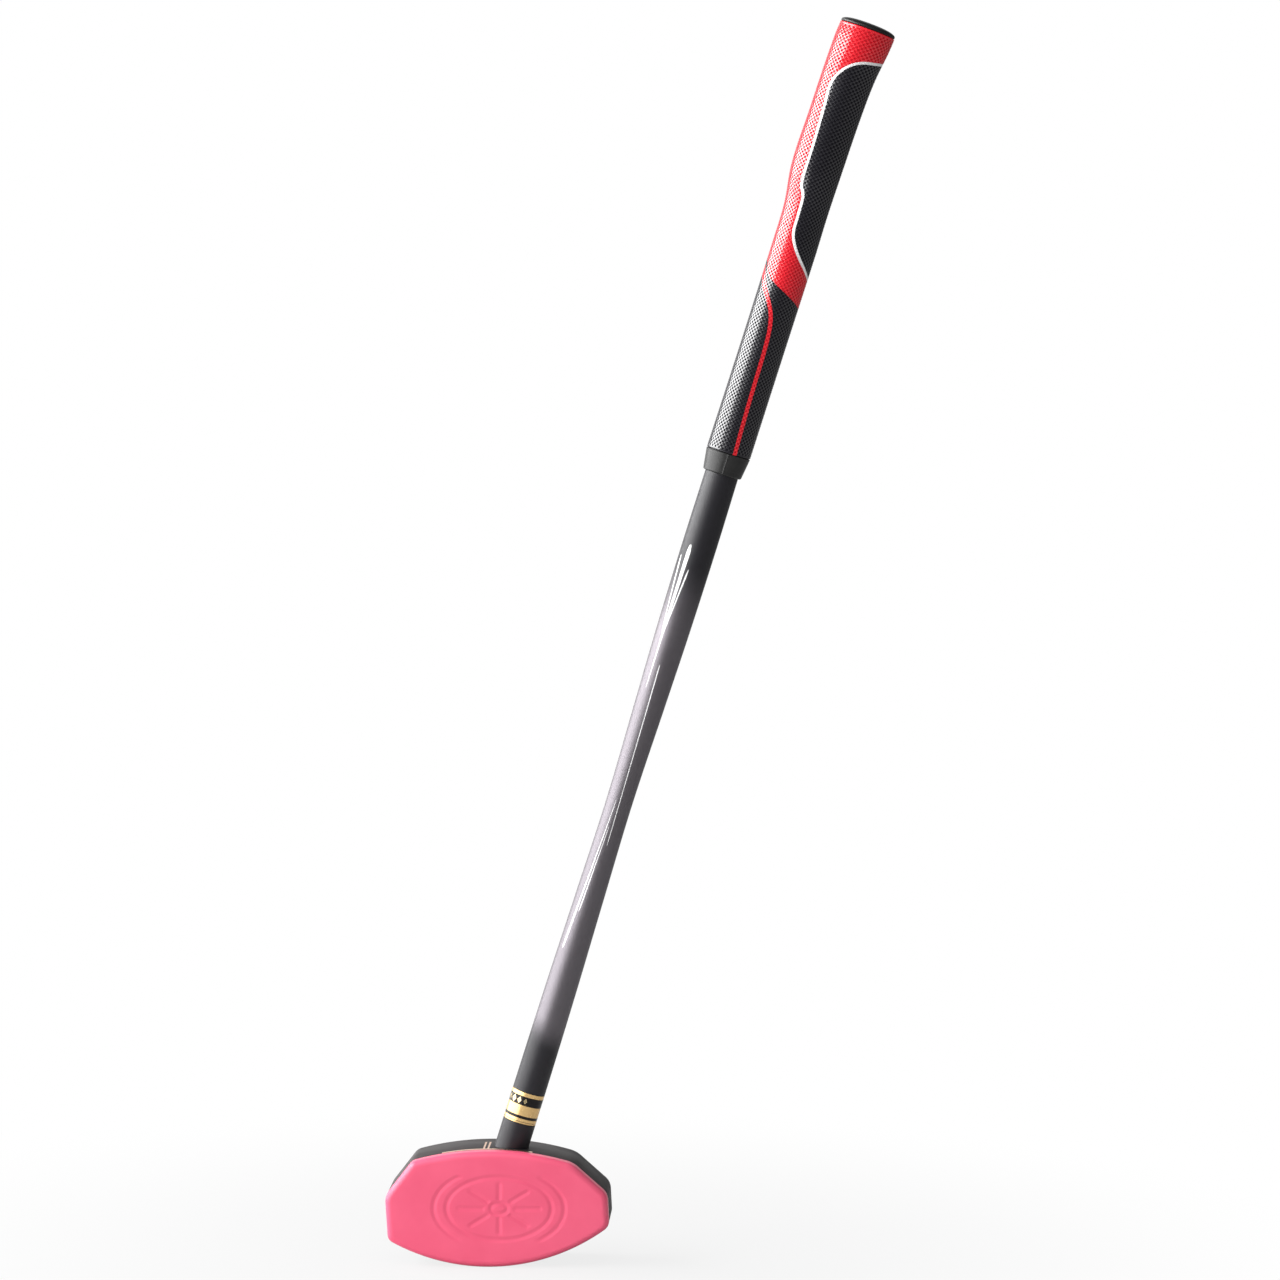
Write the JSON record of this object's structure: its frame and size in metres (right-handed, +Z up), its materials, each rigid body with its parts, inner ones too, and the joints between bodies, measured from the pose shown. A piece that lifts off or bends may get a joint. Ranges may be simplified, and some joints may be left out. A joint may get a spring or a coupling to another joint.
{
  "type": "ground golf club",
  "caption": "Ground golf club: wooden mallet head with a pink urethane striking face, waisted tubular shaft, and red and black embossed grip with rubber collar and cap.",
  "frame": {"origin": "middle of the sole, on the flat underside of the sole plate, straight below the front half of the shaft's bore", "axes": "+Z up, -Y the way the striking face looks and the ball leaves, +X towards the heel, the side the shaft leans to and the player stands on"},
  "size_m": [0.3276, 0.0532, 0.8063],
  "materials": {
    "lacquered_wood": "satin black lacquer over hardwood",
    "bare_hardwood": "bare turned hardwood",
    "pink_urethane": "cast urethane, soft gloss",
    "brass": "brushed",
    "steel": "turned",
    "shaft_paint": "satin paint with a silver fade, over carbon fibre composite",
    "gold_foil": "gold foil film",
    "tape_cloth": "adhesive cloth tape",
    "foam_rubber": "dense foam rubber",
    "grip_skin": "embossed polyurethane, semi-gloss",
    "black_rubber": "moulded, matt"
  },
  "bodies": {
    "root": {"head_body": "lacquered_wood", "face_plate": "pink_urethane", "face_dowel_1": "bare_hardwood", "face_dowel_2": "bare_hardwood", "face_dowel_3": "bare_hardwood", "face_dowel_4": "bare_hardwood", "sole_plate": "brass", "sole_screw_1": "brass", "sole_screw_2": "brass", "sole_screw_3": "brass", "sole_screw_4": "brass", "sole_weight": "steel", "shaft_pin": "steel", "shaft_tube": "shaft_paint", "shaft_tip_plug": "bare_hardwood", "foil_band": "gold_foil", "grip_tape": "tape_cloth", "grip_sleeve": "foam_rubber", "grip_wrap": "grip_skin", "grip_collar": "black_rubber", "butt_cap": "black_rubber"}
  },
  "joints": []
}
